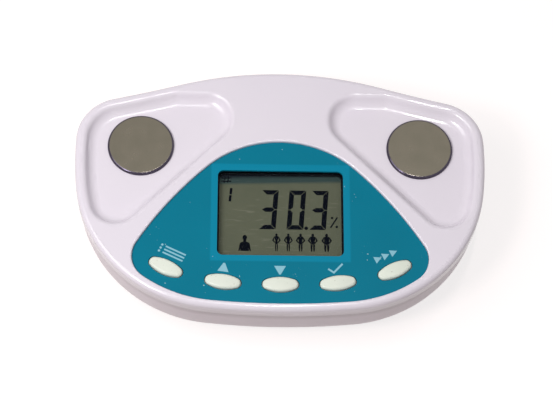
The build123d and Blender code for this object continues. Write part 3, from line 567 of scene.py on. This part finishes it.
figure_places = (-1.26, 2.7, 6.8, 10.9, 15.55)
figure_head_y = -6.85
for number, x in enumerate(figure_places):
    stout = number / (len(figure_places) - 1)
    head = 0.38 + 0.1 * stout
    shoulder = 0.78 + 0.26 * stout
    waist = 0.34 + 0.46 * stout
    hip = 0.46 + 0.38 * stout
    elbow = 1.42 + 0.36 * stout
    arm = 0.3 + 0.12 * stout
    figure_layer.disc((x, figure_head_y), head, tall=1.2, corners=20)
    trunk = [
        (0.2, -7.25),
        (shoulder, -7.6),
        (shoulder - 0.12, -8.15),
        (waist, -9.15),
        (hip, -10.05),
    ]
    mirrored = [(x - across, y) for across, y in reversed(trunk)]
    figure_layer.outline([(x + across, y) for across, y in trunk] + [(x, -10.35)] + mirrored)
    sleeve = [
        (shoulder + 0.02, -7.6),
        (elbow, -8.9),
        (hip + 0.06, -10.0),
        (hip - 0.02, -9.55),
        (elbow - 1.6 * arm, -8.92),
        (shoulder - 0.08, -8.2),
    ]
    leg = [
        (0.08, -10.42),
        (hip, -10.15),
        (hip * 0.98, -11.6),
        (hip * 0.8, -12.85),
        (hip * 0.3, -12.85),
    ]
    for side in (-1, 1):
        figure_layer.outline([(x + side * across, y) for across, y in sleeve])
        figure_layer.outline([(x + side * across, y) for across, y in leg])
figure_shape = figure_layer.raise_to(glass_face, segment_thickness)
add_piece("lcd_figures", figure_shape, segment_black, "case")

# Display frame and buzzer, moulded in black ABS and PBT with a light grain. The frame holds the
# glass over the board. The connector strip in its slot is silicone rubber with thin layers that
# conduct.
black_plastic = Finish("black_moulding", {"IOR": 1.5})
black_cloud = black_plastic.noise(4 * mm)
black_plastic.vary("Base Color", black_plastic.mix(black_cloud, ink(24, 24, 26), ink(36, 36, 38)))
black_plastic.vary("Roughness", 0.42 + 0.16 * black_plastic.noise(2 * mm))
black_plastic.relief(black_plastic.noise(0.3 * mm, 3.0), 0.02 * mm)
dress(black_plastic, "lcd_frame", "buzzer")

zebra_pitch = 0.5 * mm


def wave(distance, pitch):
    """Rises from 0 to half a pitch and falls back, over and over along a distance."""
    return distance.maths("PINGPONG", distance, pitch / 2)


zebra = Finish("zebra_strip", {"IOR": 1.41})
zebra_wave = wave(zebra.axis("X"), zebra_pitch)
zebra_dark = zebra.ease(zebra_wave, 0.2 * zebra_pitch, 0.3 * zebra_pitch)
zebra.vary("Base Color", zebra.mix(zebra_dark, ink(214, 150, 150), ink(26, 24, 26)))
zebra.vary("Roughness", 0.5 + 0.2 * zebra.noise(0.6 * mm))
zebra.relief(zebra_dark, 0.01 * mm)
dress(zebra, "lcd_connector")

# Main board and controller chip. The board is glass-fibre laminate with copper tracks under a green
# mask, and a pale raw edge where it was routed. It is screwed to the front cover's posts. The chip
# on it is moulded in black epoxy.
board_low, board_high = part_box("main_board")
track_pitch = 1.27 * mm
track_half_width = 0.16 * track_pitch
track_core = 0.8 * track_half_width
board_edge = 0.04 * mm
green = Finish("green_board", {"IOR": 1.5, "Coat Weight": 0.25, "Coat Roughness": 0.2})
blocks = green.noise(9 * mm, 1.0)
across_line = green.ease(wave(green.axis("Y"), track_pitch), track_half_width, track_core)
along_line = green.ease(wave(green.axis("X"), track_pitch), track_half_width, track_core)
tracks = across_line * green.ease(blocks, 0.5, 0.51) + along_line * green.ease(blocks, 0.47, 0.46)
board_z = green.axis("Z")
routed = green.ease(board_z, board_low.z, board_low.z + board_edge)
routed = routed * green.ease(board_z, board_high.z, board_high.z - board_edge)
masked = green.mix(green.noise(14 * mm), ink(14, 74, 44), ink(20, 86, 50))
masked = green.mix(tracks, masked, ink(40, 120, 66))
green.vary("Base Color", green.mix(routed, masked, ink(196, 186, 130)))
green.vary("Roughness", 0.3 + 0.3 * routed + 0.1 * green.noise(3 * mm))
green.relief(tracks, 0.03 * mm)
dress(green, "main_board")

epoxy = Finish("chip_epoxy", {"IOR": 1.55, "Coat Weight": 0.3, "Coat Roughness": 0.2})
epoxy.vary("Base Color", epoxy.mix(epoxy.noise(3 * mm), ink(18, 18, 20), ink(30, 29, 30)))
epoxy.vary("Roughness", 0.28 + 0.2 * epoxy.noise(2 * mm))
epoxy.relief(epoxy.noise(2.2 * mm), 0.08 * mm)
dress(epoxy, "controller_chip")

# Chip components. Small ceramic blocks in columns on both sides of the board, tan between their
# tinned ends, by which they are soldered to it.
components_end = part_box("chip_components")[1].x
component_length = 2.0 * mm
component_pitch = 3.2 * mm
tin_start = 0.24 * component_length
tin_full = 0.28 * component_length
ceramic = Finish("chip_ceramic", {"IOR": 1.6})
from_end = components_end - abs(ceramic.axis("X")) + component_pitch
along_block = from_end.maths("MODULO", from_end, component_pitch)
tinned = ceramic.ease(abs(along_block - component_length / 2), tin_start, tin_full)
ceramic.vary("Base Color", ceramic.mix(tinned, ink(164, 132, 96), ink(198, 198, 200)))
ceramic.vary("Metallic", 0.9 * tinned)
ceramic.vary("Roughness", 0.5 - 0.2 * tinned + 0.1 * ceramic.noise(0.4 * mm))
ceramic.relief(ceramic.noise(0.3 * mm), 0.02 * mm)
dress(ceramic, "chip_components")

# Keypad mat and contact pills. The mat is translucent grey silicone with a collar for each key, and
# the pills under the keys are silicone filled with carbon.
silicone = Finish("grey_silicone", {"IOR": 1.41})
mat_grey = silicone.mix(silicone.noise(6 * mm), ink(176, 178, 180), ink(190, 192, 193))
silicone.vary("Base Color", mat_grey)
silicone.vary("Roughness", 0.5 + 0.15 * silicone.noise(2 * mm))
silicone.relief(silicone.noise(0.5 * mm), 0.015 * mm)
dress(silicone, "keypad_mat")

key_names = ("menu", "up", "down", "set", "start")
carbon = Finish("carbon_rubber", {"IOR": 1.45})
carbon.vary("Base Color", carbon.mix(carbon.noise(0.6 * mm), ink(22, 22, 23), ink(38, 38, 40)))
carbon.vary("Roughness", 0.65 + 0.2 * carbon.noise(0.5 * mm))
carbon.relief(carbon.noise(0.25 * mm, 3.0), 0.02 * mm)
dress(carbon, *[name + "_contact" for name in key_names])

# Keys. Five crowned keys in cream rubber-like plastic, satin from handling, with a few dark specks
# from the moulding. Each has a flange under the front cover that keeps it from falling out.
cream = Finish("cream_key", {"IOR": 1.48, "Coat Weight": 0.12, "Coat Roughness": 0.3})
cream_cloud = cream.noise(5 * mm, 3.0)
cream_specks = cream.ease(cream.noise(0.5 * mm, 0.0), 0.8, 0.84)
cream_base = cream.mix(cream_cloud, ink(231, 235, 221), ink(223, 229, 216))
cream.vary("Base Color", cream.mix(0.6 * cream_specks, cream_base, ink(150, 146, 128)))
cream.vary("Roughness", 0.36 + 0.16 * cream.noise(2 * mm))
cream.relief(cream.noise(0.45 * mm, 3.0), 0.012 * mm)
dress(cream, *[name + "_key" for name in key_names])


# Electrodes. Discs pressed from stainless steel, satin on the face from a turning brush and
# polished on the rounded edge, each with a stud that is pressed through the cover into a spring
# clip. Their colours are darker than bare steel: a painted reflection of a dim room, and on the
# rounded edge also painted shade where the disc meets the dish.
def steel_disc(name, node, radius, edge):
    """Steel of a disc around its own centre, which is the same distance out on either side."""
    low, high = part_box(node)
    centre = (low + high) / 2
    ring_width = 0.22 * mm
    ring_change = 0.02
    steel = Finish(name, {"Metallic": 1.0})
    across = abs(steel.axis("X")) - abs(centre.x)
    down = steel.axis("Y") - centre.y
    from_centre = (across * across + down * down) ** 0.5
    rim = steel.ease(from_centre, radius - edge, radius - 0.6 * edge)
    rings = {"X": from_centre, "Y": ring_change * across, "Z": ring_change * down}
    ring_place = steel.node("ShaderNodeCombineXYZ", {}, rings)
    ring_noise = {"Vector": ring_place, "Scale": 1 / ring_width, "Detail": 2.0}
    brushed = steel.node("ShaderNodeTexNoise", {}, ring_noise)
    worn = steel.noise(5 * mm, 3.0)
    # Painted reflection of a dim room: an olive grey face and a dark violet rounded edge, below
    # bare steel.
    face = steel.mix(worn, ink(112, 108, 94), ink(120, 113, 100))
    face = steel.mix(0.3 * brushed, face, ink(100, 97, 88))
    steel.vary("Base Color", steel.mix(rim, face, ink(72, 66, 80)))
    steel.vary("Roughness", 0.22 + 0.08 * worn - 0.14 * rim)
    steel.relief(brushed * (1 - rim), 0.004 * mm)
    return steel


electrode_edge = 0.8 * mm
dress(
    steel_disc("thumb_steel", "left_thumb_electrode", 11.3 * mm, electrode_edge),
    "left_thumb_electrode",
    "right_thumb_electrode",
)
dress(
    steel_disc("finger_steel", "left_finger_electrode", 10.0 * mm, electrode_edge),
    "left_finger_electrode",
    "right_finger_electrode",
)


# Clips, contact springs, terminals, crystal can and screws. All are pressed or turned metal, drawn
# or rolled with a fine grain: blued spring steel, phosphor bronze, nickel plate and zinc plate.
def rolled_metal(name, dull, bright, roughness, stretch):
    """Bare or plated metal with a grain along its rolling direction."""
    metal = Finish(name, {"Metallic": 1.0})
    grain = metal.noise(0.4 * mm, 3.0, stretch)
    tarnish = metal.noise(3 * mm)
    metal.vary("Base Color", metal.mix(0.5 * grain + 0.5 * tarnish, dull, bright))
    metal.vary("Roughness", roughness + 0.15 * tarnish)
    metal.relief(grain, 0.008 * mm)
    return metal


along_x = (0.08, 1, 1)
along_z = (1, 1, 0.08)
blued = rolled_metal("blued_steel", ink(84, 88, 102), ink(120, 124, 138), 0.3, along_x)
dress(blued, "electrode_clips")
bronze = rolled_metal("phosphor_bronze", ink(168, 112, 66), ink(202, 148, 98), 0.25, along_x)
dress(bronze, "contact_springs")
nickel = rolled_metal("nickel_plate", ink(176, 172, 160), ink(212, 208, 196), 0.2, along_z)
dress(nickel, "plus_terminal", "minus_terminal", "link_terminal", "crystal")
zinc = rolled_metal("zinc_plate", ink(146, 150, 156), ink(188, 190, 194), 0.28, (1, 1, 1))
dress(zinc, "case_screws", "board_screws")

# Finger leads. Two stranded wires in PVC insulation, red on one side and black on the other,
# soldered to the finger electrodes' studs and to the board.
insulation = Finish("lead_insulation", {"IOR": 1.53})
right_side = insulation.axis("X") > 0
insulation.vary("Base Color", insulation.mix(right_side, ink(168, 30, 30), ink(30, 30, 32)))
insulation.vary("Roughness", 0.35 + 0.15 * insulation.noise(1 * mm))
insulation.relief(insulation.noise(0.3 * mm), 0.01 * mm)
dress(insulation, "finger_leads")

# Cells. Two AAA cells, each a nickel-plated steel can in a printed sleeve, plain here: a grey body
# and a blue band at the plus end. The upper one points its nub to the left, the lower one to the
# right.
sleeve_inset = 0.5 * mm
band_width = 9.0 * mm
nub_length = 0.8 * mm
for cell_name, nub_side in (("upper_cell", -1), ("lower_cell", 1)):
    cell_low, cell_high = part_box(cell_name)
    nub_end = cell_high.x if nub_side > 0 else -cell_low.x
    flat_end = -cell_low.x if nub_side > 0 else cell_high.x
    wrap = Finish(cell_name + "_wrap", {"IOR": 1.5})
    toward_nub = nub_side * wrap.axis("X")
    bare_shoulder = toward_nub > nub_end - nub_length - sleeve_inset
    bare_base = toward_nub < sleeve_inset - flat_end
    past_sleeve = bare_shoulder + bare_base
    in_band = toward_nub > nub_end - nub_length - band_width
    sleeve = wrap.mix(in_band, ink(120, 124, 130), ink(28, 70, 138))
    sleeve = wrap.mix(0.15 * wrap.noise(1.5 * mm), sleeve, ink(200, 202, 206))
    wrap.vary("Base Color", wrap.mix(past_sleeve, sleeve, ink(200, 198, 192)))
    wrap.vary("Metallic", 0.25 + 0.75 * past_sleeve)
    wrap.vary("Roughness", 0.3 + 0.1 * wrap.noise(3 * mm))
    wrap.relief(wrap.noise(0.6 * mm), 0.01 * mm)
    dress(wrap, cell_name)

# Camera. It looks down on the front from slightly below and to the left of the middle, and is
# turned a little, as the photograph was taken.
camera_azimuth = radians(3.75)
camera_elevation = radians(64.16)
camera_roll = radians(4.18)
camera_distance = 701.7 * mm
aim = Vector((0, -3.6, 24.6)) * mm
photo_width = 553
photo_height = 400
focal_pixels = 2085.5
centre_pixel = (280.4, 200.3)
sensor = 36.0
back = Vector((
    -sin(camera_azimuth) * cos(camera_elevation),
    -cos(camera_azimuth) * cos(camera_elevation),
    sin(camera_elevation),
))
level = Vector((cos(camera_azimuth), -sin(camera_azimuth), 0))
rise = back.cross(level)
right = cos(camera_roll) * level + sin(camera_roll) * rise
up = cos(camera_roll) * rise - sin(camera_roll) * level
eye = aim + camera_distance * back
lens_data = bpy.data.cameras.new("camera")
lens_data.sensor_width = sensor
lens_data.lens = focal_pixels / photo_width * sensor
lens_data.shift_x = (photo_width / 2 - centre_pixel[0]) / photo_width
lens_data.shift_y = (centre_pixel[1] - photo_height / 2) / photo_width
lens_data.clip_start = 10 * mm
camera = bpy.data.objects.new("camera", lens_data)
camera.matrix_world = Matrix.Translation(eye) @ Matrix((right, up, back)).transposed().to_4x4()
bpy.context.scene.collection.objects.link(camera)
bpy.context.scene.camera = camera
bpy.context.scene.view_settings.view_transform = "Standard"

# Floor. A plain pale sheet that the object lies on. The camera, gloss and glass see it nearly
# white, and it keeps the object's soft shadow.
floor_half = 1.5
paper_glow = 0.74
floor_shape = bmesh.new()
floor_corners = [
    floor_shape.verts.new((side * floor_half, end * floor_half, 0))
    for side, end in ((-1, -1), (1, -1), (1, 1), (-1, 1))
]
floor_shape.faces.new(floor_corners)
floor_mesh = bpy.data.meshes.new("floor")
floor_shape.to_mesh(floor_mesh)
floor_shape.free()
floor = bpy.data.objects.new("floor", floor_mesh)
bpy.context.scene.collection.objects.link(floor)
paper = Finish(
    "pale_paper",
    {"Roughness": 0.9, "Specular IOR Level": 0.0, "Emission Strength": 1.0},
)


def seen_directly(nodes):
    """1 for the camera's rays and those that gloss and glass send on, and 0 for the light's own."""
    ray = "ShaderNodeLightPath"
    in_picture = nodes.node(ray, {}, {}, "Is Camera Ray") + nodes.node(ray, {}, {}, "Is Glossy Ray")
    return in_picture + nodes.node(ray, {}, {}, "Is Transmission Ray")


glow = (paper_glow, paper_glow, paper_glow, 1)
paper.vary("Base Color", paper.mix(paper.noise(90 * mm), ink(168, 156, 154), ink(173, 161, 159)))
glowing = paper.ease(seen_directly(paper), 0.0, 1.0)
paper.vary("Emission Color", paper.mix(glowing, (0, 0, 0, 1), glow))
floor_mesh.materials.append(paper.material)

# Light. An even pale surround, a softbox on the left, near enough that the right side gets less of
# it, a narrow far window overhead, which gives the streaks in the dishes, and a smaller softbox in
# front on the left, which gives the highlights on the lip.
surround_level = 0.34
surround_colour = (1.0, 0.985, 1.0, 1.0)
world = bpy.data.worlds.new("surround")
bpy.context.scene.world = world
world.use_nodes = True
surround = world.node_tree.nodes["Background"]
surround.inputs["Color"].default_value = surround_colour
surround_nodes = Nodes(world.node_tree)
strength_range = {"Value": seen_directly(surround_nodes), "To Min": surround_level, "To Max": 1.0}
strength = surround_nodes.node("ShaderNodeMapRange", {}, strength_range)
world.node_tree.links.new(strength.socket, surround.inputs["Strength"])


def lamp(name, azimuth, elevation, distance, width, height, level):
    """A soft lamp that faces the object and lights its front by a share of the full level."""
    turn, tilt = radians(azimuth), radians(elevation)
    toward = Vector((sin(turn) * cos(tilt), -cos(turn) * cos(tilt), sin(tilt)))
    light = bpy.data.lights.new(name, "AREA")
    light.shape = "RECTANGLE"
    light.size = width
    light.size_y = height
    light.energy = level * (pi * distance) ** 2 / sin(tilt)
    hung = bpy.data.objects.new(name, light)
    facing_object = toward.to_track_quat("Z", "Y").to_matrix().to_4x4()
    hung.matrix_world = Matrix.Translation(aim + distance * toward) @ facing_object
    bpy.context.scene.collection.objects.link(hung)


lamp("left_softbox", azimuth=278, elevation=56, distance=0.45, width=0.26, height=0.26, level=0.27)
lamp("far_window", azimuth=165, elevation=83, distance=1.7, width=0.05, height=0.6, level=0.13)
lamp("front_softbox", azimuth=-54, elevation=52, distance=0.7, width=0.15, height=0.15, level=0.23)
